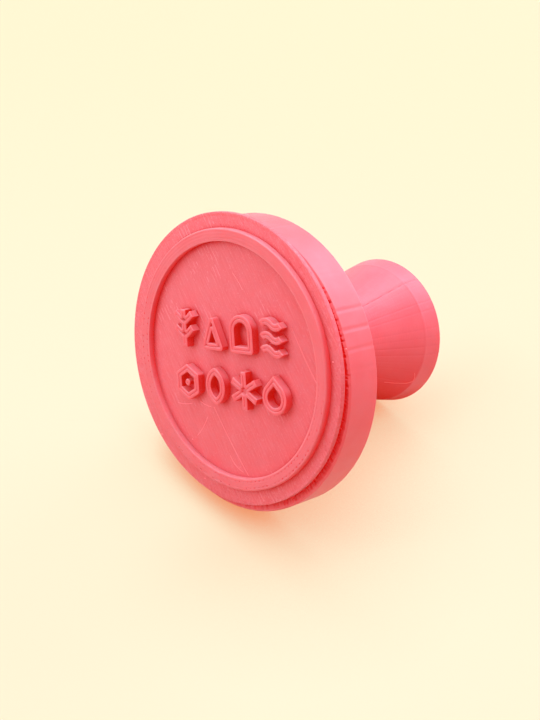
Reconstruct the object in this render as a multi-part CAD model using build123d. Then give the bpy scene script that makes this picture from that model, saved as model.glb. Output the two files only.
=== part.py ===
from build123d import *
import os
from math import asin, atan, cos, degrees, radians, sin, tan

# Clay stamp, printed in plastic: a flared grip on a thick backing flange, and a thin stamping
# plate bonded to the flange by hand, a little off its centre. The plate carries a raised border
# ring and eight raised figures. All sizes are in millimetres.
#
# Every piece is first modelled along the stamp's own axis, with Z = 0 on the field of the
# stamping plate and +Z towards the end of the grip. The stamp is then laid on its side, on the
# rim of the flange and the end of the grip, as it rests on a table: the face looks along -Y and
# a little upwards, and the table is Z = 0.

# Stamping plate
plate_diameter = 39.5
plate_thickness = 0.9
plate_shift_x = -0.5           # the plate's centre against the flange's, across the face
plate_shift_up = 0.8           # and up the face

# Border ring on the plate
ring_margin = 2.15             # step of bare plate outside the ring
ring_width = 1.7
ring_height = 0.85
ring_shift_x = 0.4             # the ring's centre against the plate's
ring_shift_up = 0.3

# Bond between the plate and the flange
bond_thickness = 0.25
bond_setback = 1.1             # how far the bond stays behind the plate's rim

# Backing flange
flange_margin = 0.25           # the flange's corners reach this much past the plate's radius
flange_thickness = 5.55
flange_edge_break = 0.4

# Grip
grip_length = 25.4
neck_diameter = 10.0
flare_angle = 25.2             # degrees, between the flare and the axis
flare_blend_radius = 14.0
band_length = 2.85
band_front_diameter = 20.5
band_end_diameter = 21.6
band_edge_break = 0.25

# Key that seats the grip in the flange
key_across_corners = 6.4
key_length = 3.4
key_clearance = 0.12
key_end_clearance = 0.3

# Raised figures
figure_width = 4.3
figure_height = 5.1
figure_gap = 1.2               # between the figures of one row
row_gap = 2.4                  # between the two rows
row_turn = 25.0                # degrees, the rows against the table
block_shift_x = 0.3            # the middle of the rows against the ring's centre
block_shift_up = 0.3
relief_height = 1.15
stroke = 0.95
corner_radius = 0.45
leaf_width = 3.7
branch_pairs = 2
branch_pitch = 1.9
branch_rise = 1.3
ripple_swing = 0.36
ripples = 3

# Printed outlines are straight-sided: the flange and the grip are both drawn with this many sides
facets = 50
blend_steps = 5

# Sizes that follow
plate_back = plate_thickness
flange_front = plate_back + bond_thickness
flange_back = flange_front + flange_thickness
grip_end = flange_back + grip_length
flange_diameter = plate_diameter + 2 * flange_margin
ring_diameter = plate_diameter - 2 * ring_margin
facet_pitch = 360 / facets


def shifted(plane, x, up):
    """The same plane with its centre moved across and up the face."""
    return Plane(plane.from_local_coords((x, up, 0)), x_dir=plane.x_dir, z_dir=plane.z_dir)


# The stamping face as it is seen from the front: X to the right, Y up the face
axis_plane = Plane(origin=(0, 0, 0), x_dir=(1, 0, 0), z_dir=(0, 0, -1))
plate_plane = shifted(axis_plane, plate_shift_x, plate_shift_up)
ring_plane = shifted(plate_plane, ring_shift_x, ring_shift_up)
block_plane = shifted(ring_plane, block_shift_x, block_shift_up)


def many_sided(diameter, height, turn=0.0):
    """A straight-sided round outline, measured over its corners, at a height along the axis."""
    return Pos(0, 0, height) * RegularPolygon(diameter / 2, facets, rotation=turn)


# Grip and flange


def flare_stations():
    """Heights along the axis and diameters of the grip: neck, blend arc, straight flare, band."""
    neck_radius = neck_diameter / 2
    band_front = grip_end - band_length
    blend_end_radius = neck_radius + flare_blend_radius * (1 - cos(radians(flare_angle)))
    flare_run = (band_front_diameter / 2 - blend_end_radius) / tan(radians(flare_angle))
    blend_start = band_front - flare_run - flare_blend_radius * sin(radians(flare_angle))
    stations = [(flange_back, neck_diameter)]
    for step in range(blend_steps + 1):
        turn = radians(flare_angle) * step / blend_steps
        height = blend_start + flare_blend_radius * sin(turn)
        stations.append((height, 2 * (neck_radius + flare_blend_radius * (1 - cos(turn)))))
    stations.append((band_front, band_front_diameter))
    stations.append((grip_end - band_edge_break, band_end_diameter))
    stations.append((grip_end, band_end_diameter - 2 * band_edge_break))
    return stations


def key_section(clearance=0.0):
    """The six-sided key that stops the grip from turning in the flange."""
    corner_clearance = clearance / cos(radians(30))
    return RegularPolygon(key_across_corners / 2 + corner_clearance, 6)


def make_grip():
    """Flared handle, half a facet round from the flange, with its key at the flange end."""
    sections = [many_sided(size, height, facet_pitch / 2) for height, size in flare_stations()]
    body = loft(sections, ruled=True)
    key = extrude(Pos(0, 0, flange_back) * key_section(), -key_length)
    return body + key


def make_backing_flange():
    """Thick disc behind the plate, with its rear edge broken and a blind socket for the key."""
    disc = extrude(many_sided(flange_diameter, flange_front), flange_thickness)
    disc = chamfer(disc.edges().group_by(Axis.Z)[-1], flange_edge_break)
    socket_depth = key_length + key_end_clearance
    socket = extrude(Pos(0, 0, flange_back) * key_section(key_clearance), -socket_depth)
    return disc - socket


# Plate, ring and the bond


def make_stamping_plate():
    """Thin round plate whose front face is the field between the raised figures."""
    return extrude(plate_plane * Circle(plate_diameter / 2), -plate_thickness)


def make_bond_film():
    """Bond behind the plate. It stops short of the rim, so a dark gap shows all round."""
    outline = plate_plane.offset(-plate_back) * Circle(plate_diameter / 2 - bond_setback)
    return extrude(outline, -bond_thickness)


def make_border_ring():
    """Raised ring round the field."""
    outer = Circle(ring_diameter / 2)
    inner = Circle(ring_diameter / 2 - ring_width)
    return extrude(ring_plane * (outer - inner), ring_height)


# Raised figures, each drawn about its own centre, one stroke wide


def outline_of(shape, rounded_corners=()):
    """A closed line, one stroke wide, just inside a shape, with some outer corners rounded."""
    inside = offset(shape, -stroke)
    if rounded_corners:
        shape = fillet(rounded_corners, corner_radius)
    return shape - inside


def line_between(start, end):
    """A straight line, one stroke wide."""
    return trace(Line(start, end), stroke)


def sprig():
    """Upright stem with pairs of branches."""
    half_width = (figure_width - stroke) / 2
    half_height = figure_height / 2
    tip = half_height - stroke / 2
    shape = line_between((0, -half_height), (0, half_height))
    for pair in range(branch_pairs):
        foot = tip - branch_rise - pair * branch_pitch
        for side in (-1, 1):
            shape += line_between((0, foot), (side * half_width, foot + branch_rise))
    return shape


def triangle():
    """Upright triangle, drawn as an outline."""
    half_width = figure_width / 2
    half_height = figure_height / 2
    corners = [(-half_width, -half_height), (half_width, -half_height), (0, half_height)]
    shape = Polygon(*corners, align=None)
    return outline_of(shape, shape.vertices())


def arch():
    """Round-headed arch on a flat sill, drawn as an outline."""
    radius = figure_width / 2
    springing = figure_height / 2 - radius
    leg_height = springing + figure_height / 2
    shape = Pos(0, springing) * Circle(radius)
    shape += Pos(0, springing - leg_height / 2) * Rectangle(figure_width, leg_height)
    return outline_of(shape, shape.vertices().group_by(Axis.Y)[0])


def waves():
    """Level ripples, one above the other."""
    half_run = (figure_width - stroke) / 2
    lowest = (stroke - figure_height) / 2 + ripple_swing
    pitch = -2 * lowest / (ripples - 1)
    shape = Sketch()
    for ripple in range(ripples):
        level = lowest + ripple * pitch
        crest = ThreePointArc((-half_run, level), (-half_run / 2, level + ripple_swing), (0, level))
        trough = ThreePointArc((0, level), (half_run / 2, level - ripple_swing), (half_run, level))
        shape += trace([crest, trough], stroke)
    return shape


def hexagon():
    """Six-sided cell standing on one corner, with a dot in it."""
    shape = RegularPolygon(figure_height / 2, 6, rotation=90)
    return outline_of(shape, shape.vertices()) + Circle(stroke / 2)


def leaf():
    """Pointed leaf, drawn as an outline."""
    half_width = leaf_width / 2
    half_height = figure_height / 2
    bow = (half_height**2 - half_width**2) / leaf_width
    blade = Pos(bow, 0) * Circle(bow + half_width)
    blade &= Pos(-bow, 0) * Circle(bow + half_width)
    return outline_of(blade)


def star():
    """Six arms, each one stroke wide."""
    reach = figure_height / 2
    shape = Sketch()
    for arm in range(3):
        turn = radians(90 + 60 * arm)
        end = (reach * cos(turn), reach * sin(turn))
        shape += line_between((-end[0], -end[1]), end)
    return shape


def drop():
    """Round-bottomed drop with its point upwards, drawn as an outline."""
    radius = figure_width / 2
    middle = radius - figure_height / 2
    point = figure_height / 2
    touch = asin(radius / (point - middle))
    side = (radius * cos(touch), middle + radius * sin(touch))
    outline = Line((0, point), side)
    outline += ThreePointArc(side, (0, -figure_height / 2), (-side[0], side[1]))
    outline += Line((-side[0], side[1]), (0, point))
    return outline_of(make_face(outline))


figure_rows = [
    {"sprig": sprig, "triangle": triangle, "arch": arch, "waves": waves},
    {"hexagon": hexagon, "leaf": leaf, "star": star, "drop": drop},
]


def make_relief_figures():
    """All the raised figures, in two rows that rise to the right."""
    figures = {}
    for row_number, row in enumerate(figure_rows):
        up = ((len(figure_rows) - 1) / 2 - row_number) * (figure_height + row_gap)
        for column, (name, draw) in enumerate(row.items()):
            across = (column - (len(row) - 1) / 2) * (figure_width + figure_gap)
            place = block_plane * Rot(Z=row_turn) * Pos(across, up)
            figures[f"relief_{name}"] = extrude(place * draw(), relief_height)
    return figures


# The stamp as it lies on the table


def lying_turn():
    """Turn that lays the stamp on a flat of the flange and a corner of the grip's end."""
    flange_flat_radius = flange_diameter / 2 * cos(radians(facet_pitch / 2))
    drop_to_grip = flange_flat_radius - band_end_diameter / 2
    run_to_grip = (grip_end - band_edge_break) - (flange_back - flange_edge_break)
    tilt = degrees(atan(drop_to_grip / run_to_grip))
    return Rot(X=-90 - tilt)


def lay_on_table(pieces):
    """Lay every piece on its side, on Z = 0, with the origin under the middle of the stamp."""
    turned = {name: lying_turn() * piece for name, piece in pieces.items()}
    box = Compound(list(turned.values())).bounding_box()
    to_table = Pos(-box.center().X, -box.center().Y, -box.min.Z)
    return {name: to_table * piece for name, piece in turned.items()}


pieces = {
    "grip": make_grip(),
    "backing_flange": make_backing_flange(),
    "bond_film": make_bond_film(),
    "stamping_plate": make_stamping_plate(),
    "border_ring": make_border_ring(),
    **make_relief_figures(),
}

os.makedirs("parts", exist_ok=True)
for node, solid in lay_on_table(pieces).items():
    export_step(solid, f"parts/{node}.step")
    print(f"{node:20s} volume {solid.volume:8.2f} mm3")
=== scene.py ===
"""Look of a printed clay stamp that lies on its side: the printed surfaces, the studio and the camera.

Every piece is modelled in the stamp's own axes, in millimetres: X to the right as the face is seen from the
front, -Y up the face, Z = 0 on the field of the stamping plate and +Z towards the end of the grip. LyingPlace
then lays the meshes on the table, in metres.
"""

import logging
import math
import random
from collections.abc import Iterable, Sequence
from dataclasses import dataclass
from enum import Enum

import bmesh
import bpy
from mathutils import Euler, Matrix, Vector
from mathutils.bvhtree import BVHTree


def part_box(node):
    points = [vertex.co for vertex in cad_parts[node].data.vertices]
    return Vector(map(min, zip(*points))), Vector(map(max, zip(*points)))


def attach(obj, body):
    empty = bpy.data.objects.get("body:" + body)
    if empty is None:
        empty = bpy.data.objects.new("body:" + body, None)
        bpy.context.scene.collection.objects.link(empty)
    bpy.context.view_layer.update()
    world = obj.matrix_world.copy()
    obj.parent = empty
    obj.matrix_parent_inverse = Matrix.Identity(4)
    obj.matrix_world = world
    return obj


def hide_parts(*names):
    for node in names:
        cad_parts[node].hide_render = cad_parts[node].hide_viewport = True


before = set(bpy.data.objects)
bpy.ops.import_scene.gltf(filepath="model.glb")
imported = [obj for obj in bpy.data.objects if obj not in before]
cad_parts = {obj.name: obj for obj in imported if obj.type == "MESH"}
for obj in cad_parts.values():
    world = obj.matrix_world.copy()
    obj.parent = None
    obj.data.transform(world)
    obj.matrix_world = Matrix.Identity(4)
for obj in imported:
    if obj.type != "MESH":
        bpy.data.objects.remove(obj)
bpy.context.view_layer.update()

log = logging.getLogger("clay_stamp")

MM = 0.001
CLOSE = 1e-4  # two points nearer than this, in millimetres, are one

Colour = tuple[float, float, float]
Point2 = tuple[float, float]
Point3 = tuple[float, float, float]
Socket = bpy.types.NodeSocket
Value = Socket | float | Sequence[float]
Owner = bpy.types.Material | bpy.types.World
Inputs = dict[str | int, Value]
Mesh = bmesh.types.BMesh
Face = bmesh.types.BMFace
Vert = bmesh.types.BMVert

PLATE_MIDDLE: Point2 = (-0.5, -0.8)
RING_MIDDLE: Point2 = (-0.1, -1.1)
RING_HEIGHT = 0.85


# Where the stamp lies


@dataclass(frozen=True)
class LyingPlace:
    """How the stamp lies: on a flat of the flange and a corner of the grip's end.

    The place is read off the border ring's own box, so the pieces follow the frame.
    """

    flange_flat_radius: float = 20.0 * math.cos(math.radians(3.6))
    grip_end_radius: float = 10.8
    run_between: float = 25.55

    @property
    def tilt(self) -> float:
        """Angle of the axis against the table, in radians."""
        return math.atan((self.flange_flat_radius - self.grip_end_radius) / self.run_between)

    @property
    def turn(self) -> Matrix:
        """Turn from the stamp's own axes to the table's."""
        return Matrix.Rotation(-math.pi / 2 - self.tilt, 4, "X")

    @property
    def origin(self) -> Vector:
        """Where the own axes' origin lies on the table, in metres."""
        low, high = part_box("border_ring")
        return (low + high) / 2 - self.turn @ (Vector((*RING_MIDDLE, -RING_HEIGHT / 2)) * MM)

    @property
    def matrix(self) -> Matrix:
        """The whole placement: scale to metres, turn and move."""
        return Matrix.Translation(self.origin) @ self.turn @ Matrix.Scale(MM, 4)


PLACE = LyingPlace()


# Node trees


@dataclass(frozen=True)
class Fade:
    """A smooth change from one number to another, between two limits of a measure."""

    low: float
    high: float
    at_low: float = 0.0
    at_high: float = 1.0


@dataclass(frozen=True)
class Grain:
    """How fine and how rough soft noise is."""

    scale: float = 1.0
    detail: float = 3.0
    roughness: float = 0.6


class NodeSketch:
    """The node tree of a material or world, with one short call for each node it needs."""

    def __init__(self, owner: Owner, output: str = "ShaderNodeOutputMaterial") -> None:
        """Starts with an empty tree and its output.

        Args:
            owner: The material or world.
            output: The output's type name.
        """
        owner.use_nodes = True
        self.tree = owner.node_tree
        self.tree.nodes.clear()
        self.output = self.tree.nodes.new(output)

    def feed(self, socket: Socket, value: Value) -> None:
        """Links a socket to another, or sets it to a number or colour."""
        if isinstance(value, bpy.types.NodeSocket):
            self.tree.links.new(value, socket)
        else:
            socket.default_value = value

    def add(self, kind: str, inputs: Inputs | None = None, **settings: object) -> bpy.types.Node:
        """Adds a node.

        Args:
            kind: The node's type name.
            inputs: Values or sockets for its inputs, by name or number.
            **settings: Properties of the node itself.

        Returns:
            The new node.
        """
        node = self.tree.nodes.new(kind)
        for key, value in settings.items():
            setattr(node, key, value)
        for key, value in (inputs or {}).items():
            self.feed(node.inputs[key], value)
        return node

    def math(self, operation: str, first: Value, *others: Value) -> Socket:
        """Does a sum on numbers, carried on from each number to the next.

        Args:
            operation: The sum's name in the node.
            first: The first number.
            *others: The numbers after it, if the sum takes any.

        Returns:
            The result.
        """
        result = first
        for other in others or (0.0,):
            result = self.add("ShaderNodeMath", {0: result, 1: other}, operation=operation).outputs[0]
        return result

    def times(self, *factors: Value) -> Socket:
        """The product of numbers."""
        return self.math("MULTIPLY", *factors)

    def blend(self, share: Value, first: Value, second: Value, mode: str = "MIX") -> Socket:
        """Mixes two colours.

        Args:
            share: The second colour's share, between 0 and 1.
            first: The colour at 0.
            second: The colour at 1.
            mode: How the second goes over the first.

        Returns:
            The mixed colour.
        """
        node = self.add("ShaderNodeMix", data_type="RGBA", blend_type=mode)
        for key, value in ((0, share), (6, first), (7, second)):
            self.feed(node.inputs[key], value)
        return node.outputs[2]

    def fade(self, value: Value, fade: Fade) -> Socket:
        """A number carried smoothly from one range to another."""
        inputs = {0: value, 1: fade.low, 2: fade.high, 3: fade.at_low, 4: fade.at_high}
        return self.add("ShaderNodeMapRange", inputs, interpolation_type="SMOOTHSTEP").outputs[0]

    def noise(self, place: Socket, grain: Grain = Grain()) -> Socket:
        """Soft noise between 0 and 1."""
        inputs = {"Vector": place, "Scale": grain.scale, "Detail": grain.detail, "Roughness": grain.roughness}
        return self.add("ShaderNodeTexNoise", inputs).outputs[0]

    def split(self, vector: Socket) -> Sequence[Socket]:
        """The three numbers of a vector."""
        return self.add("ShaderNodeSeparateXYZ", {0: vector}).outputs

    def join(self, x: Value, y: Value) -> Socket:
        """Two numbers as one vector."""
        return self.add("ShaderNodeCombineXYZ", {0: x, 1: y}).outputs[0]

    def away_from(self, value: Socket, level: float) -> Socket:
        """How far a number lies from a level, on either side."""
        return self.math("ABSOLUTE", self.math("SUBTRACT", value, level))

    def table_place(self) -> Socket:
        """The point on the table, in metres."""
        return self.add("ShaderNodeTexCoord").outputs["Object"]

    def own_axes(self) -> Socket:
        """The point in the stamp's own axes, in millimetres."""
        back = PLACE.turn.inverted()
        shift = -(back @ PLACE.origin) / MM
        inputs = {"Location": shift, "Rotation": back.to_euler(), "Scale": (1 / MM,) * 3}
        return self.add("ShaderNodeMapping", {"Vector": self.table_place(), **inputs}).outputs[0]

    def mapped(self, place: Socket, turn: float, scale: Sequence[float] = (1, 1, 1)) -> Socket:
        """Coordinates turned about the axis, by degrees, and then stretched."""
        around = Euler((0, 0, math.radians(turn)))
        turned = self.add("ShaderNodeMapping", {"Vector": place, "Rotation": around}).outputs[0]
        return self.add("ShaderNodeMapping", {"Vector": turned, "Scale": scale}).outputs[0]

    def polar(self, place: Socket, middle: Point2) -> tuple[Socket, Socket, Socket]:
        """Measures a point round a middle.

        Args:
            place: The point.
            middle: The middle.

        Returns:
            Its angle in degrees, its radius and its height.
        """
        x, y, z = self.split(place)
        x = self.math("SUBTRACT", x, middle[0])
        y = self.math("SUBTRACT", y, middle[1])
        radius = self.math("SQRT", self.math("ADD", self.times(x, x), self.times(y, y)))
        angle = self.times(self.math("ARCTAN2", y, x), 180 / math.pi)
        return angle, radius, z

    def seen_straight(self) -> Socket:
        """1 for what the camera sees, in a reflection or through glass too, and 0 for what only gives light."""
        paths = self.add("ShaderNodeLightPath").outputs
        rays = ("Is Camera Ray", "Is Glossy Ray", "Is Transmission Ray")
        return self.math("MAXIMUM", *(paths[ray] for ray in rays))

    def openness(self, reach: float) -> Socket:
        """How open a point lies: 1 on open ground, towards 0 in a gap. The reach is in millimetres."""
        return self.add("ShaderNodeAmbientOcclusion", {"Distance": reach * MM}, samples=5).outputs["AO"]

    def spot(self, place: Socket, middle: Point2, radius: float) -> Socket:
        """Draws a soft round spot.

        Args:
            place: The point.
            middle: The spot's middle.
            radius: Its radius.

        Returns:
            1 in the middle, 0 beyond the radius.
        """
        shift = tuple(-along / radius for along in middle)
        inputs = {"Vector": place, "Location": (*shift, 0), "Scale": (1 / radius, 1 / radius, 0)}
        inside = self.add("ShaderNodeMapping", inputs).outputs[0]
        return self.add("ShaderNodeTexGradient", {0: inside}, gradient_type="SPHERICAL").outputs[1]

    def show(self, shader: bpy.types.Node) -> None:
        """Makes a shader the result of the tree."""
        self.feed(self.output.inputs[0], shader.outputs[0])

    def show_mixed(self, share: Value, first: bpy.types.Node, second: bpy.types.Node) -> None:
        """Makes two shaders, mixed by a share, the result of the tree."""
        self.show(self.add("ShaderNodeMixShader", {0: share, 1: first.outputs[0], 2: second.outputs[0]}))


# Finishes


class Coat:
    """A finish while it is mixed: its colour and bump so far, and the places that its patterns follow."""

    def __init__(self, finish: "PrintedFinish") -> None:
        """Starts with the base colour and a smooth surface.

        Args:
            finish: The finish to mix.
        """
        self.finish = finish
        self.material = bpy.data.materials.new(finish.name)
        self.sketch = NodeSketch(self.material)
        self.own = self.sketch.own_axes()
        self.angle, self.radius, self.height = self.sketch.polar(self.own, finish.middle)
        self.right, _, self.up = self.sketch.split(self.sketch.add("ShaderNodeNewGeometry").outputs["Normal"])
        self.colour: Value = (*finish.base, 1)
        self.bump: Value = 0.0

    def mix_in(self, share: Value, colour: Colour) -> None:
        """Mixes a colour in by a share between 0 and 1."""
        self.colour = self.sketch.blend(share, self.colour, (*colour, 1))

    def lift(self, height: Value, factor: float = 1.0) -> None:
        """Adds a height to the bump."""
        self.bump = self.sketch.math("ADD", self.bump, self.sketch.times(height, factor))

    def round_streaks(self, across: Socket, stretch: Point2) -> Socket:
        """Streaks round the axis, stretched per degree round it and per millimetre across them."""
        around = self.sketch.times(self.angle, stretch[0])
        return self.sketch.noise(self.sketch.join(around, self.sketch.times(across, stretch[1])))


@dataclass(frozen=True)
class PlainLook:
    """A printed surface with no lines of its own."""

    def dress(self, coat: Coat) -> None:
        """Adds nothing to the coat."""

    def shaded(self, coat: Coat, gap: Socket) -> Socket:
        """The share of painted shade, left as it is."""
        return gap


@dataclass(frozen=True)
class LayerLook(PlainLook):
    """Streaks along the printed layers of a round wall."""

    stretch: Point2 = (0.1, 6.6)
    relief: float = 0.6
    dark: Fade = Fade(0.52, 0.8, 0.0, 0.08)

    def dress(self, coat: Coat) -> None:
        """Draws the streaks, a little darker than the rest."""
        streak = coat.round_streaks(coat.height, self.stretch)
        coat.lift(streak, self.relief)
        coat.mix_in(coat.sketch.fade(streak, self.dark), coat.finish.deep)


@dataclass(frozen=True)
class BeadLook(PlainLook):
    """Streaks along the beads that run round a ring, and a pale line along its inner lip."""

    stretch: Point2 = (0.18, 6.0)
    relief: float = 0.7
    light: Fade = Fade(0.5, 0.8, 0.0, 0.12)
    lip_radius: float = 16.0
    lip: Fade = Fade(0.04, 0.12, 0.22, 0.0)

    def dress(self, coat: Coat) -> None:
        """Draws the streaks and the lip.

        Args:
            coat: The coat they go on.
        """
        sketch = coat.sketch
        streak = coat.round_streaks(coat.radius, self.stretch)
        coat.lift(streak, self.relief)
        coat.mix_in(sketch.fade(streak, self.light), coat.finish.pale)
        coat.mix_in(sketch.fade(sketch.away_from(coat.radius, self.lip_radius), self.lip), coat.finish.pale)


@dataclass(frozen=True)
class InfillLook(PlainLook):
    """Slanting printed lines across a flat face, pale scuffs on their ridges and a rough margin."""

    heading: float = -34.5
    cross_heading: float = 25.0
    cross_relief: float = 0.6
    spacing: float = 0.6
    stretch: Point3 = (0.3, 6.0, 0.3)
    dark: Fade = Fade(0.3, 0.55, 0.12, 0.0)
    light: Fade = Fade(0.5, 0.75, 0.0, 0.25)
    fleck_grain: Grain = Grain(3.2, 3.0, 0.7)
    fleck: Fade = Fade(0.56, 0.7, 0.0, 0.45)
    worn_spots: tuple[tuple[Point2, float], ...] = (
        ((-9.5, -11.5), 4.5), ((-13.5, -1.5), 4.5), ((-12.0, -14.5), 6.0), ((-7.0, -3.0), 4.0),
        ((8.5, 0.5), 4.0), ((-6.0, 8.5), 3.5), ((13.0, 12.0), 4.0), ((3.0, -11.0), 3.0),
    )
    worn_anywhere: float = 0.45
    patch_grain: Grain = Grain(0.5)
    patches: Fade = Fade(0.36, 0.6)
    wander_grain: Grain = Grain(0.9, 2.0, 0.5)
    wander: float = 0.25
    ridge: Fade = Fade(0.02, 0.09, 1.0, 0.0)
    dash_grain: Grain = Grain(1.0, 4.0, 0.7)
    dash_stretch: Point3 = (0.28, 1 / 0.6, 0.3)
    dash_edge: Fade = Fade(0.0, 1.1, 0.68, 0.40)
    dash_contrast: float = 8.0
    dash_most: float = 0.7
    margin: Fade = Fade(17.3, 17.9)
    margin_height: Fade = Fade(0.03, 0.08, 1.0, 0.0)
    margin_relief: float = 1.5
    rough_grain: Grain = Grain(2.2, 4.0, 0.75)
    hatch_grain: Grain = Grain(1.0, 3.0, 0.7)
    hatch_stretch: Point3 = (1.0, 6.0, 1.0)
    margin_dark: Fade = Fade(0.56, 0.7, 0.0, 0.5)
    margin_light: Fade = Fade(0.52, 0.68, 0.0, 0.45)
    # Where the field's painted shade is lifted: its lower part, inside the ring.
    lower_field: Fade = Fade(4.0, 10.0)
    inner_field: Fade = Fade(16.5, 17.0, 0.8, 0.0)

    def scuffs(self, coat: Coat) -> Socket:
        """Draws the pale scuffs on the ridges of the printed lines.

        Args:
            coat: The coat they go on.

        Returns:
            How much a point belongs to a scuff.
        """
        sketch = coat.sketch
        worn = sketch.math("MAXIMUM", 0.0, *(sketch.spot(coat.own, *spot) for spot in self.worn_spots))
        patchy = sketch.fade(sketch.noise(coat.own, self.patch_grain), self.patches)
        worn = sketch.times(sketch.math("ADD", worn, self.worn_anywhere), patchy)
        across = sketch.split(sketch.mapped(coat.own, self.heading))[1]
        wander = sketch.times(sketch.noise(coat.own, self.wander_grain), self.wander)
        away = sketch.math("PINGPONG", sketch.math("ADD", across, wander), self.spacing / 2)
        dashes = sketch.noise(sketch.mapped(coat.own, self.heading, self.dash_stretch), self.dash_grain)
        dashes = sketch.math("SUBTRACT", dashes, sketch.fade(worn, self.dash_edge))
        dashes = sketch.math("MAXIMUM", sketch.times(dashes, self.dash_contrast), 0.0)
        dashes = sketch.math("MINIMUM", dashes, self.dash_most)
        return sketch.times(dashes, sketch.fade(away, self.ridge))

    def roughen_margin(self, coat: Coat) -> None:
        """Roughens the bare step outside the ring.

        Args:
            coat: The coat it goes on.
        """
        sketch = coat.sketch
        level = sketch.fade(coat.height, self.margin_height)
        margin = sketch.times(sketch.fade(coat.radius, self.margin), level)
        rough = sketch.noise(coat.own, self.rough_grain)
        hatch = sketch.noise(sketch.mapped(coat.own, self.heading, self.hatch_stretch), self.hatch_grain)
        dark = sketch.times(sketch.fade(rough, self.margin_dark), margin)
        light = sketch.times(sketch.fade(hatch, self.margin_light), margin)
        coat.mix_in(dark, coat.finish.deep)
        coat.mix_in(light, coat.finish.pale)
        coat.lift(sketch.times(sketch.math("ADD", rough, hatch), margin), self.margin_relief)

    def dress(self, coat: Coat) -> None:
        """Draws the lines, the scuffs and the margin.

        Args:
            coat: The coat they go on.
        """
        sketch = coat.sketch
        streak = sketch.noise(sketch.mapped(coat.own, self.heading, self.stretch))
        cross = sketch.noise(sketch.mapped(coat.own, self.cross_heading, self.stretch))
        scuff = self.scuffs(coat)
        coat.mix_in(sketch.fade(streak, self.dark), coat.finish.deep)
        coat.mix_in(sketch.fade(streak, self.light), coat.finish.pale)
        fleck = sketch.fade(sketch.noise(coat.own, self.fleck_grain), self.fleck)
        coat.mix_in(sketch.math("MAXIMUM", scuff, fleck), coat.finish.pale)
        coat.lift(sketch.math("ADD", streak, scuff))
        coat.lift(cross, self.cross_relief)
        self.roughen_margin(coat)

    def shaded(self, coat: Coat, gap: Socket) -> Socket:
        """Takes painted shade off the lower part of the inner field, which faces the light.

        Args:
            coat: The coat it goes on.
            gap: The share of painted shade.

        Returns:
            The share that stays.
        """
        sketch = coat.sketch
        lower = sketch.fade(sketch.split(coat.own)[1], self.lower_field)
        lit = sketch.times(lower, sketch.fade(coat.radius, self.inner_field))
        return sketch.times(gap, sketch.math("SUBTRACT", 1.0, lit))


class Pattern(Enum):
    """Which printed lines a surface shows."""

    LAYERS = LayerLook()
    INFILL = InfillLook()
    BEADS = BeadLook()
    PLAIN = PlainLook()


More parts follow.
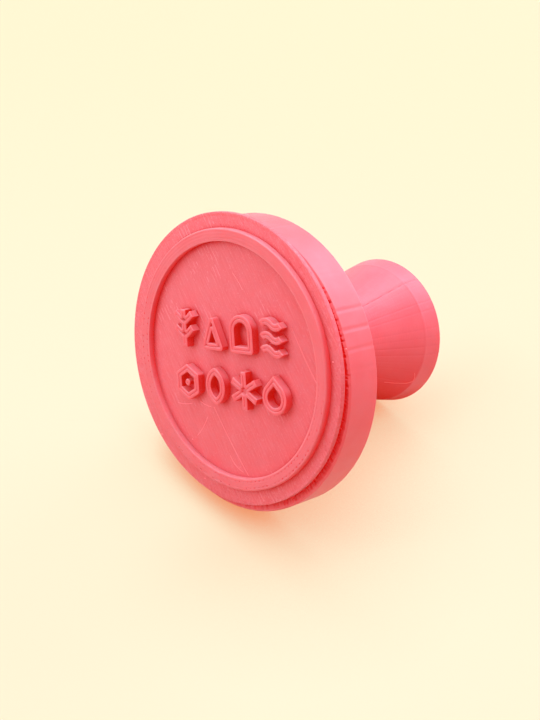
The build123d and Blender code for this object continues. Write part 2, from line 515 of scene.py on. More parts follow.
@dataclass(frozen=True)
class PrintedFinish:
    """Coral pink printed plastic, satin, a little translucent, with the lines of one printed surface.

    Gaps and downward faces get painted shade in deep red, and shaded gaps a painted red glow; both stand in for
    light that has passed through the plastic.
    """

    name: str
    pattern: Pattern
    middle: Point2 = (0.0, 0.0)
    base: Colour = (0.93, 0.163, 0.190)
    pale: Colour = (0.98, 0.36, 0.40)
    # Deep red: darker print streaks and rough patches, and also the painted shade of gaps and downward faces.
    deep: Colour = (0.68, 0.018, 0.011)
    # Colour of the painted red glow.
    through: Colour = (0.95, 0.022, 0.014)
    cloud_grain: Grain = Grain(0.35, 3.0, 0.5)
    cloud: Fade = Fade(0.35, 0.7, 0.0, 0.10)
    fine_grain: Grain = Grain(6.0, 2.0, 0.6)
    grain: Fade = Fade(0.55, 0.75, 0.0, 0.10)
    grain_relief: float = 0.35
    relief: float = 0.02
    roughness: Fade = Fade(0.3, 0.7, 0.37, 0.50)
    specular: float = 0.45
    translucency: float = 0.55
    red_depth: float = 2.0
    scatter: Point3 = (1.0, 0.18, 0.14)
    # Painted red glow: its strength in shaded gaps, and over the whole piece.
    glow: float = 0.3
    glow_everywhere: float = 0.0
    # Painted shade: deep red mixed in where a point is closed in, less on faces that turn up.
    gap_reach: float = 1.6
    gap: Fade = Fade(0.4, 0.82, 0.95, 0.0)
    closed: Fade = Fade(0.12, 0.38, 1.0, 0.0)
    facing_up: Fade = Fade(0.45, 0.85, 1.0, 0.3)
    facing_right: Fade = Fade(0.1, 0.8)
    # Painted shade in deep red on downward faces, in front of a height along the axis.
    underside: Fade | None = None
    underside_end: Fade = Fade(29.0, 29.2, 1.0, 0.0)
    # Painted highlight: pale mixed in on faces that turn up.
    top_highlight: Fade | None = None
    # Painted highlight: a pale band round the edge at this height.
    glint_height: float | None = None
    edge_glint: Fade = Fade(0.1, 0.28, 0.5, 0.0)

    def shade(self, coat: Coat) -> tuple[Socket, Socket]:
        """Paints shade into the gaps and onto downward faces, in deep red, and works out the painted glow.

        Args:
            coat: The coat it goes on.

        Returns:
            The share of painted deep-red shade, and the strength of the painted red glow.
        """
        sketch = coat.sketch
        # Painted shade in the gaps, by how closed in each point is.
        openness = sketch.openness(self.gap_reach)
        gap = sketch.times(sketch.fade(openness, self.gap), sketch.fade(coat.up, self.facing_up))
        gap = self.pattern.value.shaded(coat, gap)
        # Painted red glow in gaps that face right, away from the lamps, or lie deep.
        closed = sketch.fade(openness, self.closed)
        unlit = sketch.math("MAXIMUM", sketch.fade(coat.right, self.facing_right), closed)
        glow = sketch.times(unlit, self.glow, gap)
        # Painted shade on downward faces.
        if self.underside:
            down = sketch.fade(coat.up, self.underside)
            inner = sketch.fade(coat.height, self.underside_end)
            gap = sketch.math("MAXIMUM", gap, sketch.times(down, inner))
        return gap, glow

    def material(self) -> bpy.types.Material:
        """Builds the node material of this finish.

        Returns:
            The finished material.
        """
        coat = Coat(self)
        sketch = coat.sketch
        grain = sketch.noise(coat.own, self.fine_grain)
        coat.mix_in(sketch.fade(sketch.noise(coat.own, self.cloud_grain), self.cloud), self.pale)
        coat.mix_in(sketch.fade(grain, self.grain), self.pale)
        coat.lift(grain, self.grain_relief)
        self.pattern.value.dress(coat)
        # Painted highlight along an edge.
        if self.glint_height is not None:
            coat.mix_in(sketch.fade(sketch.away_from(coat.height, self.glint_height), self.edge_glint), self.pale)
        # Painted highlight on up-facing faces.
        if self.top_highlight:
            coat.mix_in(sketch.fade(coat.up, self.top_highlight), self.pale)
        gap, glow = self.shade(coat)
        # The painted shade is mixed in here.
        coat.mix_in(gap, self.deep)
        relief = {"Height": coat.bump, "Strength": 1.0, "Distance": self.relief * MM}
        sketch.show(sketch.add(
            "ShaderNodeBsdfPrincipled",
            {
                "Base Color": coat.colour,
                "Roughness": sketch.fade(grain, self.roughness),
                "Specular IOR Level": sketch.times(sketch.math("SUBTRACT", 1.0, gap), self.specular),
                # Emission carries the painted red glow.
                "Emission Color": (*self.through, 1),
                "Emission Strength": sketch.math("ADD", glow, self.glow_everywhere),
                "Subsurface Weight": self.translucency,
                "Subsurface Radius": self.scatter,
                "Subsurface Scale": self.red_depth * MM,
                "Normal": sketch.add("ShaderNodeBump", relief).outputs[0],
            },
        ))
        return coat.material


# Mesh helpers


def lathe(profile: Sequence[Point2], steps: int) -> Mesh:
    """Spins a profile round the stamp's axis.

    Args:
        profile: Points of radius and height, from the front to the back.
        steps: Columns in the full turn.

    Returns:
        The lathed mesh, open where the profile doesn't reach the axis.
    """
    bm = bmesh.new()
    chain = [bm.verts.new((radius, 0.0, height)) for radius, height in profile]
    edges = [bm.edges.new(pair) for pair in zip(chain, chain[1:])]
    bmesh.ops.spin(
        bm, geom=[*chain, *edges], cent=(0, 0, 0), axis=(0, 0, 1), angle=math.tau, steps=steps, use_merge=True
    )
    bmesh.ops.remove_doubles(bm, verts=bm.verts, dist=CLOSE)
    return bm


def close_ends(bm: Mesh) -> None:
    """Closes every open round edge with one flat face and turns all faces outwards."""
    rims = [edge for edge in bm.edges if edge.is_boundary]
    bmesh.ops.edgeloop_fill(bm, edges=rims)
    bmesh.ops.recalc_face_normals(bm, faces=bm.faces)


def flat_region(bm: Mesh, level: float) -> list[Face]:
    """Finds the faces that lie square to the axis.

    Args:
        bm: The mesh.
        level: Their height.

    Returns:
        The faces.
    """
    bm.normal_update()
    return [
        face for face in bm.faces
        if abs(face.normal.z) > 0.99 and abs(face.calc_center_median().z - level) < 0.01
    ]


def rear_outline(rim: float, level: float) -> list[Point2]:
    """The printed outline round a rear face, with a fine groove inside it.

    Args:
        rim: Radius of the face.
        level: Height of the face.

    Returns:
        Points of radius and height, from the rim inwards.
    """
    return [(rim, level), (rim - 0.4, level), (rim - 0.46, level - 0.04), (rim - 0.52, level)]


@dataclass(frozen=True)
class PrintedLines:
    """The grooves between the printed lines that fill a flat face."""

    heading: float
    spacing: float = 0.6
    width: float = 0.13
    depth: float = 0.045
    wander: float = 0.08
    least_depth: float = 0.35

    def cut(self, bm: Mesh, faces: list[Face], inwards: float, rng: random.Random) -> None:
        """Cuts the grooves across flat faces.

        Args:
            bm: The mesh.
            faces: The flat faces to cut.
            inwards: 1 where the body lies above the faces, -1 where it lies below.
            rng: Draws the depth of each groove.
        """
        along = math.radians(self.heading)
        across = Vector((-math.sin(along), math.cos(along), 0.0))
        geom = list({element for face in faces for element in (face, *face.edges, *face.verts)})
        reach = max(abs(vert.co.dot(across)) for face in faces for vert in face.verts)
        count = math.ceil(reach / self.spacing)
        sunk: list[tuple[list[Vert], float]] = []
        for number in range(-count, count + 1):
            middle = (number + rng.uniform(-self.wander, self.wander)) * self.spacing
            for side in (-1, 0, 1):
                point = across * (middle + side * self.width / 2)
                result = bmesh.ops.bisect_plane(bm, geom=geom, dist=CLOSE, plane_co=point, plane_no=across)
                geom = result["geom"]
                if side == 0:
                    line = [item for item in result["geom_cut"] if isinstance(item, Vert)]
                    sunk.append((line, self.depth * rng.uniform(self.least_depth, 1.0)))
        for line, depth in sunk:
            for vert in line:
                vert.co.z += inwards * depth


@dataclass(frozen=True)
class FlatSides:
    """A round outline drawn with straight sides, slightly crowned, with a shallow groove along each corner."""

    sides: int = 50
    turn: float = 0.0
    crown: float = 0.35
    groove: float = 0.04
    groove_width: float = 0.2
    deep_corners: tuple[int, ...] = ()
    deeper: float = 1.7
    columns: int = 8
    crowding: float = 1.3

    @property
    def steps(self) -> int:
        """Columns of the lathe that make this outline."""
        return self.sides * self.columns

    def shape(self, bm: Mesh, front: float, rng: random.Random) -> None:
        """Moves the points of a round lathe onto the straight sides.

        Args:
            bm: The lathed mesh.
            front: Behind this height the columns crowd towards the corners.
            rng: Draws the depth of each corner's groove.
        """
        pitch = math.tau / self.sides
        grooves = [self.groove * rng.uniform(0.1, 1.0) for _ in range(self.sides)]
        for corner in self.deep_corners:
            grooves[corner] = self.groove * self.deeper
        for vert in bm.verts:
            radius = vert.co.xy.length
            if radius < CLOSE:
                continue
            angle = math.atan2(vert.co.y, vert.co.x) - self.turn
            corner = round(angle / pitch) * pitch
            share = abs(angle - corner) / (pitch / 2)
            if vert.co.z > front:
                share **= self.crowding
            away = share * pitch / 2
            flat = math.cos(pitch / 2)
            reach = radius * (flat + (1 - self.crown) * (flat / math.cos(pitch / 2 - away) - flat))
            if vert.co.z > front:
                wide = math.exp(-((away * radius / self.groove_width) ** 2))
                reach -= grooves[round(corner / pitch) % self.sides] * wide
            swing = self.turn + corner + math.copysign(away, angle - corner)
            vert.co.xy = Vector((math.cos(swing), math.sin(swing))) * reach


def layered(corners: Sequence[Point2], layer: float, depth: float) -> list[Point2]:
    """Breaks a profile into printed layers, with a shallow groove between each two.

    Args:
        corners: Points of radius and height, in rising height.
        layer: Height of a layer.
        depth: Depth of the groove.

    Returns:
        The profile with two points for each layer.
    """
    points = [corners[0]]
    for (radius, height), (next_radius, next_height) in zip(corners, corners[1:]):
        cuts = max(1, round((next_height - height) / (layer / 2)))
        for number in range(1, cuts + 1):
            share = number / cuts
            sink = depth if (len(points) % 2 and number < cuts) else 0.0
            across = radius + share * (next_radius - radius)
            points.append((across - sink, height + share * (next_height - height)))
    return points


def finished(
    bm: Mesh, name: str, nodes: Iterable[str], finish: PrintedFinish, sharp: float = 30.0
) -> bpy.types.Object:
    """Lays a mesh on the table as a piece of the stamp.

    Args:
        bm: The mesh in the stamp's own axes; it is freed.
        name: The piece's name.
        nodes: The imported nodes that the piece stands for.
        finish: The finish of the piece.
        sharp: Edges bent by more than this many degrees stay crisp.

    Returns:
        The piece.
    """
    bm.normal_update()
    for edge in bm.edges:
        edge.smooth = edge.calc_face_angle(math.pi) < math.radians(sharp)
    for face in bm.faces:
        face.smooth = True
    mesh = bpy.data.meshes.new(name)
    bm.to_mesh(mesh)
    bm.free()
    mesh.transform(PLACE.matrix)
    mesh.materials.append(finish.material())
    piece = bpy.data.objects.new(name, mesh)
    bpy.context.scene.collection.objects.link(piece)
    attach(piece, "root")
    if nodes:
        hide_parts(*nodes)
    log.info("%s: %d faces", name, len(mesh.polygons))
    return piece


# Pieces


@dataclass(frozen=True)
class Grip:
    """Flared handle with flat sides, printed layers, a seam and a short band at its end."""

    front: float = 6.7
    end: float = 32.1
    neck_radius: float = 5.0
    flare_angle: float = math.radians(25.2)
    blend_radius: float = 14.0
    band_length: float = 2.85
    band_front_radius: float = 10.25
    band_end_radius: float = 10.8
    edge_break: float = 0.25
    layer: float = 0.3
    layer_depth: float = 0.028
    seam_angle: float = math.radians(-74.4)
    seam_depth: float = 0.085
    seam_half_width: float = math.radians(0.3)
    blend_steps: int = 5
    sides: FlatSides = FlatSides(turn=math.radians(3.6), columns=8, groove_width=0.1, crowding=1.6)
    end_lines: PrintedLines = PrintedLines(heading=45.0)
    # The grip's painted shade reaches 12 mm, and its downward faces get painted deep-red shade too.
    finish: PrintedFinish = PrintedFinish(
        "grip_print", Pattern.LAYERS, base=(0.96, 0.178, 0.220), deep=(0.90, 0.022, 0.012), glow=0.0,
        gap_reach=12.0, underside=Fade(-0.7, 0.5, 0.95, 0.0),
    )

    def corners(self) -> list[Point2]:
        """Profile of the grip without its layers."""
        band_front = self.end - self.band_length
        blend_end = self.neck_radius + self.blend_radius * (1 - math.cos(self.flare_angle))
        flare_run = (self.band_front_radius - blend_end) / math.tan(self.flare_angle)
        blend_start = band_front - flare_run - self.blend_radius * math.sin(self.flare_angle)
        profile = [(self.neck_radius, self.front)]
        for step in range(self.blend_steps + 1):
            turn = self.flare_angle * step / self.blend_steps
            radius = self.neck_radius + self.blend_radius * (1 - math.cos(turn))
            profile.append((radius, blend_start + self.blend_radius * math.sin(turn)))
        profile.append((self.band_front_radius, band_front))
        profile.append((self.band_end_radius, self.end - self.edge_break))
        return profile

    def mark_seam(self, bm: Mesh, rng: random.Random) -> None:
        """Sinks the column of points where every layer starts and ends.

        Args:
            bm: The grip's mesh.
            rng: Draws the depth at each point.
        """
        for vert in bm.verts:
            swing = math.remainder(math.atan2(vert.co.y, vert.co.x) - self.seam_angle, math.tau)
            if abs(swing) <= self.seam_half_width and vert.co.z < self.end - self.edge_break:
                vert.co.xy *= 1 - self.seam_depth * rng.uniform(0.4, 1.0) / vert.co.xy.length

    def build(self, rng: random.Random) -> bpy.types.Object:
        """Builds the grip.

        Args:
            rng: Draws its small unevennesses.

        Returns:
            The piece.
        """
        profile = layered(self.corners(), self.layer, self.layer_depth)
        profile += rear_outline(self.band_end_radius - self.edge_break, self.end)
        bm = lathe(profile, self.sides.steps)
        self.sides.shape(bm, 0.0, rng)
        self.mark_seam(bm, rng)
        close_ends(bm)
        self.end_lines.cut(bm, flat_region(bm, self.end), -1, rng)
        return finished(bm, "flared_grip", ["grip"], self.finish)


@dataclass(frozen=True)
class BackingFlange:
    """Thick disc with flat sides behind the stamping plate, whose first layer is ragged."""

    radius: float = 20.0
    front: float = 1.15
    back: float = 6.7
    edge_break: float = 0.4
    front_break: float = 0.25
    ragged_rows: tuple[float, ...] = (18.5, 18.7, 18.9, 19.05, 19.2, 19.35, 19.5, 19.62)
    tooth: float = 0.06
    pit: float = 0.2
    toothed: tuple[float, float] = (-62.0, -22.0)
    rag_margin: float = 0.15
    rag_fade: float = 0.8
    sides: FlatSides = FlatSides(columns=16, crowding=1.0, groove_width=0.24, deep_corners=(43, 44, 45))
    rear_lines: PrintedLines = PrintedLines(heading=-40.0)
    # The flange's rear edge gets a painted highlight; its painted shade reaches 4 mm.
    finish: PrintedFinish = PrintedFinish(
        "flange_print", Pattern.PLAIN, base=(0.96, 0.164, 0.192), specular=0.35, gap_reach=4.0, glint_height=6.45
    )

    def rag(self, bm: Mesh, rng: random.Random) -> None:
        """Raises teeth and sinks pits in the front face, all round the edge of the plate.

        Args:
            bm: The flange's mesh.
            rng: Draws the teeth and pits.
        """
        step = math.tau / self.sides.steps
        shifts: list[float] = []
        while len(shifts) <= self.sides.steps:
            shifts += [-self.tooth * rng.uniform(0.3, 1.0)] * rng.randint(1, 4)
            shifts += [self.pit * rng.uniform(0.1, 1.0)] * rng.randint(1, 3)
        for vert in bm.verts:
            radius = vert.co.xy.length
            if vert.co.z > self.front + 0.1 or radius < CLOSE:
                continue
            angle = math.atan2(vert.co.y, vert.co.x)
            toothed = self.toothed[0] < math.degrees(angle) < self.toothed[1]
            inside = self.radius - self.rag_margin - radius
            fade = 1.0 if toothed else min(1.0, max(0.0, inside / self.rag_fade))
            vert.co.z += shifts[round((angle % math.tau) / step)] * fade * rng.uniform(0.5, 1.0)

    def build(self, rng: random.Random) -> bpy.types.Object:
        """Builds the flange.

        Args:
            rng: Draws its small unevennesses.

        Returns:
            The piece.
        """
        wall = [(self.radius, self.front + self.front_break), (self.radius, self.back - self.edge_break)]
        profile = [(radius, self.front) for radius in self.ragged_rows]
        profile += [(self.radius - self.front_break, self.front), *wall]
        profile += rear_outline(self.radius - self.edge_break, self.back)
        bm = lathe(profile, self.sides.steps)
        self.sides.shape(bm, self.front + 0.01, rng)
        self.rag(bm, rng)
        close_ends(bm)
        self.rear_lines.cut(bm, flat_region(bm, self.back), -1, rng)
        return finished(bm, "flat_sided_flange", ["backing_flange"], self.finish)


@dataclass(frozen=True)
class StampingPlate:
    """Thin round plate with a field of slanting printed lines."""

    radius: float = 19.75
    thickness: float = 0.9
    edge_round: float = 0.12
    rear_break: float = 0.26
    layer: float = 0.3
    layer_depth: float = 0.015
    steps: int = 240
    lines: PrintedLines = PrintedLines(heading=34.5, depth=0.03)
    finish: PrintedFinish = PrintedFinish(
        "plate_print", Pattern.INFILL, PLATE_MIDDLE, base=(0.89, 0.179, 0.207), specular=0.2
    )

    def build(self, rng: random.Random) -> bpy.types.Object:
        """Builds the plate.

        Args:
            rng: Draws its small unevennesses.

        Returns:
            The piece.
        """
        rim = self.radius - self.edge_round
        profile = [(rim - 0.42, 0.0), (rim - 0.36, 0.015), (rim - 0.30, 0.0), (rim, 0.0)]
        profile += [(rim + self.edge_round * 0.7, self.edge_round * 0.3), (self.radius, self.edge_round)]
        wall = (self.edge_round + self.layer / 2, self.thickness - self.rear_break)
        profile += layered([(self.radius, level) for level in wall], self.layer, self.layer_depth)
        profile += [(self.radius - self.rear_break * 0.8, self.thickness)]
        bm = lathe(profile, self.steps)
        close_ends(bm)
        self.lines.cut(bm, flat_region(bm, 0.0), 1, rng)
        bmesh.ops.translate(bm, verts=bm.verts, vec=(*PLATE_MIDDLE, 0.0))
        return finished(bm, "lined_plate", ["stamping_plate"], self.finish)


@dataclass(frozen=True)
class BorderRing:
    """Raised ring of printed beads, with two rows of pinholes in its lower half."""

    outer: float = 17.6
    width: float = 1.7
    height: float = RING_HEIGHT
    outer_round: float = 0.28
    inner_round: float = 0.1
    beads: int = 4
    bead_top: tuple[Point2, ...] = ((0.35, 0.0), (0.6, 0.0))
    bead_groove: tuple[Point2, ...] = ((0.8, 0.6), (1.0, 1.0), (1.15, 0.6))
    groove: float = 0.014
    pinholes: int = 131
    pinhole_depth: float = 0.42
    pinhole_least: float = 0.12
    columns: int = 6
    # The ring gets a painted highlight on its up-facing faces.
    finish: PrintedFinish = PrintedFinish(
        "ring_print", Pattern.BEADS, RING_MIDDLE, base=(0.88, 0.173, 0.199), specular=0.3,
        top_highlight=Fade(0.45, 0.85, 0.0, 0.5),
    )

    def section(self) -> list[Point2]:
        """Section of the ring, from its inner foot over the top to its outer foot."""
        inner = self.outer - self.width
        pitch = self.width / self.beads
        points = [(inner, 0.0), (inner, -self.height + self.inner_round)]
        points += [(inner + self.inner_round * 0.3, -self.height + self.inner_round * 0.3)]
        for bead in range(self.beads):
            start = inner + bead * pitch
            last = bead == self.beads - 1
            for along, sunk in self.bead_top if last else self.bead_top + self.bead_groove:
                points += [(start + pitch * along, -self.height + self.groove * sunk)]
        for turn in (30, 60):
            lean = math.radians(turn)
            across = self.outer - self.outer_round * (1 - math.sin(lean)) * 0.6
            points += [(across, -self.height + self.outer_round * (1 - math.cos(lean)))]
        points += [(self.outer, -self.height + self.outer_round), (self.outer, 0.0), (inner, 0.0)]
        return points

    def prick(self, bm: Mesh, rng: random.Random) -> None:
        """Sinks the pinholes between the outer two beads and the inner two.

        Args:
            bm: The ring's mesh.
            rng: Draws the depth of each pinhole.
        """
        pitch = self.width / self.beads
        step = math.tau / self.pinholes
        for row, offset in ((self.outer - pitch, 0.0), (self.outer - self.width + pitch, 0.5)):
            depths = [self.pinhole_depth * rng.uniform(0.1, 1.0) for _ in range(self.pinholes + 2)]
            for vert in bm.verts:
                if vert.co.z > -self.height / 2 or abs(vert.co.xy.length - row) > pitch * 0.1:
                    continue
                turns = (math.atan2(vert.co.y, vert.co.x) % math.tau) / step - offset
                if abs(math.remainder(turns, 1.0)) < 0.6 / self.columns:
                    lower_half = min(1.0, max(self.pinhole_least, 0.5 + vert.co.y / self.outer))
                    vert.co.z += depths[round(turns)] * lower_half

    def build(self, rng: random.Random) -> bpy.types.Object:
        """Builds the ring.

        Args:
            rng: Draws its small unevennesses.

        Returns:
            The piece.
        """
        bm = lathe(self.section(), self.pinholes * self.columns)
        self.prick(bm, rng)
        bmesh.ops.recalc_face_normals(bm, faces=bm.faces)
        bmesh.ops.translate(bm, verts=bm.verts, vec=(*RING_MIDDLE, 0.0))
        return finished(bm, "beaded_ring", ["border_ring"], self.finish, sharp=50.0)


@dataclass(frozen=True)
class ReliefFigure:
    """One raised figure, whose top shows two printed lines side by side with a fine groove between them."""

    node: str
    height: float = 1.15
    row_turn: float = math.radians(-25.0)
    cell: float = 0.07
    rim_round: float = 0.13
    rim_drop: float = 0.09
    groove_start: float = 0.39
    groove_floor: float = 0.46
    groove_depth: float = 0.09
    pit_start: float = 0.52
    pit_slope: float = 0.08
    pit_depth: float = 0.2
    layer: float = 0.25
    layer_depth: float = 0.015
    foot: float = 0.1
    merge: float = 0.002

    def drop(self, inside: float) -> float:
        """Gives the section of the two printed lines.

        Args:
            inside: Distance inside the outline.

        Returns:
            How far the top lies below its crest.
        """
        rim = max(0.0, 1 - inside / self.rim_round)
        groove = min(1.0, max(0.0, (inside - self.groove_start) / (self.groove_floor - self.groove_start)))
        pit = min(1.0, max(0.0, (inside - self.pit_start) / self.pit_slope))
        smooth = groove * groove * (3 - 2 * groove)
        return self.rim_drop * rim * rim + self.groove_depth * smooth + self.pit_depth * pit

    def cut_top(self, bm: Mesh) -> list[Vert]:
        """Cuts the top into small cells along and across the row.

        Args:
            bm: The figure's mesh.

        Returns:
            The points of the top.
        """
        top = flat_region(bm, -self.height)
        geom = list({element for face in top for element in (face, *face.edges, *face.verts)})
        for turn in (self.row_turn, self.row_turn + math.pi / 2):
            across = Vector((math.cos(turn), math.sin(turn), 0.0))
            reaches = [vert.co.dot(across) for vert in bm.verts]
            place = min(reaches) + self.cell / 2
            while place < max(reaches):
                level = across * place
                result = bmesh.ops.bisect_plane(bm, geom=geom, dist=CLOSE, plane_co=level, plane_no=across)
                geom = result["geom"]
                place += self.cell
        return [element for element in geom if isinstance(element, Vert)]

    def groove_walls(self, bm: Mesh) -> None:
        """Draws the wall in a little between each two printed layers.

        Args:
            bm: The figure's mesh.
        """
        depth = self.layer
        while depth < self.height - self.foot:
            geom = [*bm.verts, *bm.edges, *bm.faces]
            level = Vector((0.0, 0.0, -depth))
            result = bmesh.ops.bisect_plane(bm, geom=geom, dist=CLOSE, plane_co=level, plane_no=(0, 0, 1))
            bm.normal_update()
            for vert in result["geom_cut"]:
                if isinstance(vert, Vert):
                    vert.co.xy -= vert.normal.xy * self.layer_depth
            depth += self.layer

    def build(self) -> bpy.types.Object:
        """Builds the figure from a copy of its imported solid.

        Returns:
            The piece.
        """
        bm = bmesh.new()
        bm.from_mesh(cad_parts[self.node].data)
        bmesh.ops.transform(bm, matrix=PLACE.matrix.inverted(), verts=bm.verts)
        bmesh.ops.remove_doubles(bm, verts=bm.verts, dist=self.merge)
        bmesh.ops.recalc_face_normals(bm, faces=bm.faces)
        walls = bm.copy()
        level_faces = [face for face in walls.faces if abs(face.normal.z) > 0.5]
        bmesh.ops.delete(walls, geom=level_faces, context="FACES")
        outline = BVHTree.FromBMesh(walls)
        walls.free()
        middle_height = -self.height / 2
        for vert in self.cut_top(bm):
            inside = outline.find_nearest(Vector((*vert.co.xy, middle_height)))[3]
            vert.co.z = -self.height + self.drop(inside)
        self.groove_walls(bm)
        name = self.node.replace("relief_", "raised_")
        # Figures: painted deep-red shade and painted glow in their gaps, and a painted highlight on their
        # up-facing walls.
        finish = PrintedFinish(
            f"{name}_print", Pattern.PLAIN, deep=(0.5, 0.017, 0.009), through=(0.7, 0.022, 0.012), specular=0.3,
            gap_reach=3.6, top_highlight=Fade(0.45, 0.85, 0.0, 0.6),
        )
        return finished(bm, name, [self.node], finish)


@dataclass(frozen=True)
class LooseBits:
    """Fine strings and specks of plastic that the nozzle left on the stamp."""

    thickness: float = 0.028
    strings: tuple[tuple[Point3, ...], ...] = (
        ((-3.9, -12.2, 0.0), (-2.8, -11.9, -0.02), (-1.5, -11.0, 0.0)),
        ((7.8, -10.8, 0.0), (11.0, -8.3, -0.03), (14.2, -6.2, 0.0)),
        ((-0.9, 6.8, 0.0), (3.5, 9.7, -0.02), (8.2, 12.2, 0.0)),
        ((-7.5, 10.2, 0.0), (-6.1, 9.7, -0.02), (-4.9, 8.7, 0.0)),
        ((4.2, 11.5, 0.0), (5.4, 12.5, -0.02), (7.2, 12.3, 0.0)),
        ((-1.5, 8.8, 0.0), (-1.6, 10.8, -0.02), (-2.4, 12.5, 0.0)),
        ((-3.5, 7.5, 0.0), (-2.4, 7.5, -0.02), (-1.4, 7.1, 0.0)),
        ((7.66, 3.2, 25.1), (8.25, 3.28, 26.3), (8.85, 3.18, 27.4), (9.5, 3.05, 28.5), (10.05, 2.3, 29.2),
         (9.88, 1.07, 28.55)),
    )
    specks: tuple[tuple[Point3, float], ...] = (
        ((16.0, -11.99, 1.2), 0.13), ((15.58, -10.12, 0.0), 0.12), ((12.2, -8.4, 0.0), 0.06),
        ((5.1, -8.2, 0.0), 0.08), ((-15.2, 9.0, 0.0), 0.09), ((-9.0, 16.6, 0.0), 0.10),
        ((1.0, 17.6, 0.0), 0.09), ((-3.1, 13.6, 0.0), 0.11),
    )
    # The strings have a painted red glow all over, and little painted shade.
    finish: PrintedFinish = PrintedFinish(
        "string_print", Pattern.PLAIN, base=(1.0, 0.42, 0.45), gap=Fade(0.4, 0.82, 0.1, 0.0),
        glow_everywhere=0.3,
    )

    def add_strings(self, bm: Mesh) -> None:
        """Adds every string as a fine tube along a smooth line.

        Args:
            bm: The mesh they are added to.
        """
        curve = bpy.data.curves.new("strings", "CURVE")
        curve.dimensions = "3D"
        curve.bevel_depth = self.thickness
        curve.bevel_resolution = 1
        curve.use_fill_caps = True
        for string in self.strings:
            spline = curve.splines.new("NURBS")
            spline.points.add(len(string) - 1)
            for point, place in zip(spline.points, string):
                point.co = (*place, 1.0)
            spline.order_u = 3
            spline.use_endpoint_u = True
        holder = bpy.data.objects.new("strings", curve)
        tubes = bpy.data.meshes.new_from_object(holder)
        bm.from_mesh(tubes)
        bpy.data.objects.remove(holder)
        bpy.data.curves.remove(curve)
        bpy.data.meshes.remove(tubes)

    def build(self, rng: random.Random) -> bpy.types.Object:
        """Builds the strings and specks as one piece.

        Args:
            rng: Draws how long each speck is.

        Returns:
            The piece.
        """
        bm = bmesh.new()
        self.add_strings(bm)
        for place, radius in self.specks:
            shape = Matrix.Translation(place) @ Matrix.Diagonal((1.0, rng.uniform(0.6, 1.0), 0.5, 1.0))
            bmesh.ops.create_icosphere(bm, subdivisions=2, radius=radius, matrix=shape)
        return finished(bm, "loose_strings", [], self.finish)


# Studio


def direction(azimuth: float, elevation: float) -> Vector:
    """The way from the stamp to a lamp or the camera; 0 is in front of the stamp and 90 on its right.

    Args:
        azimuth: Degrees round the stamp.
        elevation: Degrees above the table.

    Returns:
        A vector of length 1.
    """
    around, above = math.radians(azimuth), math.radians(elevation)
    level = math.cos(above)
    return Vector((math.sin(around) * level, -math.cos(around) * level, math.sin(above)))


def hang(name: str, data: bpy.types.ID, place: Sequence[float], back: Vector) -> bpy.types.Object:
    """Hangs a lamp or the camera.

    Args:
        name: The object's name.
        data: The lamp or camera.
        place: Where it hangs, in metres.
        back: The way that its back faces.

    Returns:
        The object.
    """
    thing = bpy.data.objects.new(name, data)
    thing.location = place
    thing.rotation_euler = (-back).to_track_quat("-Z", "Y").to_euler()
    bpy.context.scene.collection.objects.link(thing)
    return thing


@dataclass(frozen=True)
class Lamp:
    """A square soft lamp that looks at the stamp, placed by degrees round it and above the table."""

    name: str
    azimuth: float
    elevation: float
    watts: float
    colour: Colour
    size: float = 0.45
    distance: float = 0.6
    aim: Point3 = (0.0, 0.0, 0.02)

    def light(self) -> None:
        """Hangs the lamp and lights it."""
        data = bpy.data.lights.new(self.name, "AREA")
        data.size = self.size
        data.energy = self.watts
        data.color = self.colour
        back = direction(self.azimuth, self.elevation)
        hang(self.name, data, Vector(self.aim) + back * self.distance, back)


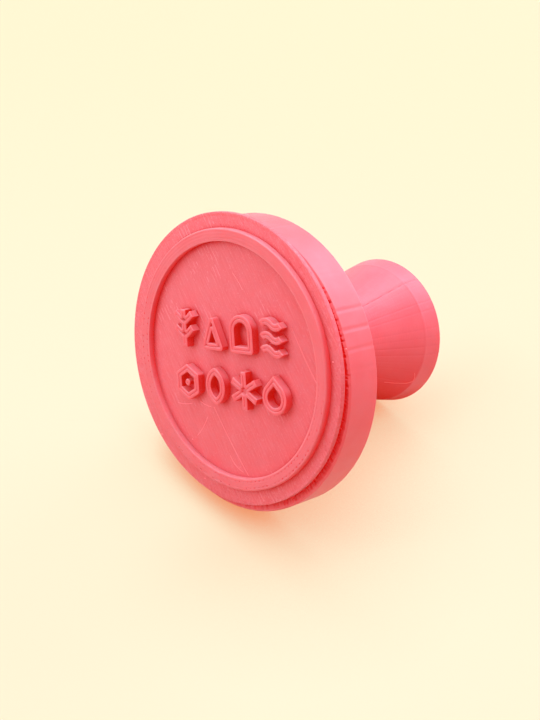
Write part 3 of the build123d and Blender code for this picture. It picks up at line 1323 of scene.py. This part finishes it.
@dataclass(frozen=True)
class CreamSheet:
    """Cream sheet that glows a little, with painted shadows near the stamp: a warm-tinted one that also stands
    in for coral light bounced off the stamp, and a contact shadow.
    """

    size: float = 6.0
    paper: Colour = (0.60, 0.56, 0.42)
    glow_near: Colour = (1.2, 1.075, 0.758)
    glow_behind: Colour = (1.25, 1.01, 0.636)
    glow_heading: float = -47.955
    behind: Fade = Fade(-0.05, 0.14)
    far: Fade = Fade(0.2, 0.6)
    glow_share: Fade = Fade(0.0, 1.0, 0.65, 1.0)
    # Painted shadow: a warm tint multiplied in where the stamp closes the sheet in, widest on its right and
    # strongest at contact.
    shadow_tint: Colour = (0.96, 0.36, 0.20)
    shadow_reach: float = 25.0
    wide_shadow: Fade = Fade(0.3, 1.0, 0.58, 0.0)
    under_shadow: Fade = Fade(0.25, 0.45, 1.0, 0.0)
    contact_reach: float = 5.5
    contact: Fade = Fade(0.35, 0.8, 1.0, 0.0)
    right_side: Fade = Fade(-0.002, 0.014)
    contact_side: Fade = Fade(-0.002, 0.014, 0.58, 1.0)

    def painted_shadow(self, sketch: NodeSketch, place: Socket) -> Socket:
        """How much painted shadow the sheet takes near the stamp.

        Args:
            sketch: The sheet's node tree.
            place: The point on the table.

        Returns:
            A share, the largest under the stamp and on its right.
        """
        across = sketch.split(place)[0]
        openness = sketch.openness(self.shadow_reach)
        wide = sketch.times(sketch.fade(openness, self.wide_shadow), sketch.fade(across, self.right_side))
        contact = sketch.fade(sketch.openness(self.contact_reach), self.contact)
        contact = sketch.times(contact, sketch.fade(across, self.contact_side))
        return sketch.math("MAXIMUM", wide, sketch.fade(openness, self.under_shadow), contact)

    def dress(self, backdrop: Colour) -> bpy.types.Material:
        """Builds the sheet's material, which fades into the backdrop far from the stamp.

        Args:
            backdrop: Colour of the backdrop.

        Returns:
            The material.
        """
        material = bpy.data.materials.new("cream_paper")
        sketch = NodeSketch(material)
        place = sketch.table_place()
        behind = sketch.fade(sketch.split(sketch.mapped(place, self.glow_heading))[1], self.behind)
        away = sketch.fade(sketch.polar(place, (0.0, 0.0))[1], self.far)
        tint = sketch.blend(behind, (*self.glow_near, 1), (*self.glow_behind, 1))
        tint = sketch.blend(away, tint, (*backdrop, 1))
        # The painted shadow darkens both the glow and the paper.
        near = self.painted_shadow(sketch, place)
        tint = sketch.blend(near, tint, (*self.shadow_tint, 1), "MULTIPLY")
        paper = sketch.blend(near, (*self.paper, 1), (*self.shadow_tint, 1), "MULTIPLY")
        matt = sketch.add("ShaderNodeBsdfDiffuse", {"Color": paper})
        glow = sketch.add("ShaderNodeEmission", {"Color": tint, "Strength": 1.0})
        share = sketch.times(sketch.fade(away, self.glow_share), sketch.seen_straight())
        sketch.show_mixed(share, matt, glow)
        return material

    def lay(self, backdrop: Colour) -> None:
        """Lays the sheet under the stamp."""
        bm = bmesh.new()
        bmesh.ops.create_grid(bm, x_segments=1, y_segments=1, size=self.size / 2)
        mesh = bpy.data.meshes.new("cream_sheet")
        bm.to_mesh(mesh)
        bm.free()
        mesh.materials.append(self.dress(backdrop))
        sheet = bpy.data.objects.new("cream_sheet", mesh)
        bpy.context.scene.collection.objects.link(sheet)


@dataclass(frozen=True)
class Studio:
    """Cream sheet, even pale light, soft lamps and the camera."""

    sheet: CreamSheet = CreamSheet()
    backdrop: Colour = (0.99, 0.94, 0.69)
    fill: Colour = (0.75, 0.25, 0.24)
    lamps: tuple[Lamp, ...] = (
        Lamp("overhead", azimuth=225.0, elevation=70.0, watts=3.70, colour=(0.52, 0.81, 1.0)),
        Lamp("front_left", azimuth=315.0, elevation=15.0, watts=1.85, colour=(0.56, 0.87, 1.0)),
        Lamp("behind", azimuth=180.0, elevation=15.0, watts=3.60, colour=(0.48, 0.76, 1.0)),
        Lamp("front_high", azimuth=315.0, elevation=70.0, watts=0.75, colour=(0.62, 1.0, 0.9)),
    )
    camera_place: Point3 = (0.089968, -0.087570, 0.128059)
    camera_azimuth: float = 47.955
    camera_elevation: float = 42.30
    lens: float = 59.5
    clip_start: float = 0.01
    clip_end: float = 20.0

    def fill_room(self) -> None:
        """Fills the room with even light, and shows the backdrop where the camera looks past the sheet."""
        world = bpy.data.worlds.new("room")
        sketch = NodeSketch(world, "ShaderNodeOutputWorld")
        lit = sketch.add("ShaderNodeBackground", {0: (*self.fill, 1)})
        seen = sketch.add("ShaderNodeBackground", {0: (*self.backdrop, 1)})
        sketch.show_mixed(sketch.seen_straight(), lit, seen)
        bpy.context.scene.world = world

    def place_camera(self) -> None:
        """Puts the camera at the photograph's place."""
        data = bpy.data.cameras.new("camera")
        data.lens = self.lens
        data.clip_start = self.clip_start
        data.clip_end = self.clip_end
        back = direction(self.camera_azimuth, self.camera_elevation)
        bpy.context.scene.camera = hang("camera", data, self.camera_place, back)

    def set_up(self) -> None:
        """Sets up everything that isn't part of the stamp."""
        self.sheet.lay(self.backdrop)
        self.fill_room()
        for lamp in self.lamps:
            lamp.light()
        self.place_camera()
        bpy.context.scene.view_settings.view_transform = "Standard"


# The whole scene


def dress_bond() -> None:
    """Gives the bond, which is shown as packed, its dark finish."""
    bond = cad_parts["bond_film"]
    finish = PrintedFinish("bond_film", Pattern.PLAIN, base=(0.30, 0.03, 0.03), pale=(0.4, 0.06, 0.05))
    bond.data.materials.clear()
    bond.data.materials.append(finish.material())


def main() -> None:
    """Builds the stamp and the studio."""
    logging.basicConfig(level=logging.INFO, format="%(message)s")
    rng = random.Random(7)
    Studio().set_up()
    for piece in (Grip(), BackingFlange(), StampingPlate(), BorderRing()):
        piece.build(rng)
    for node in sorted(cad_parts):
        if node.startswith("relief_"):
            ReliefFigure(node).build()
    LooseBits().build(rng)
    dress_bond()


if __name__ == "__main__":
    main()
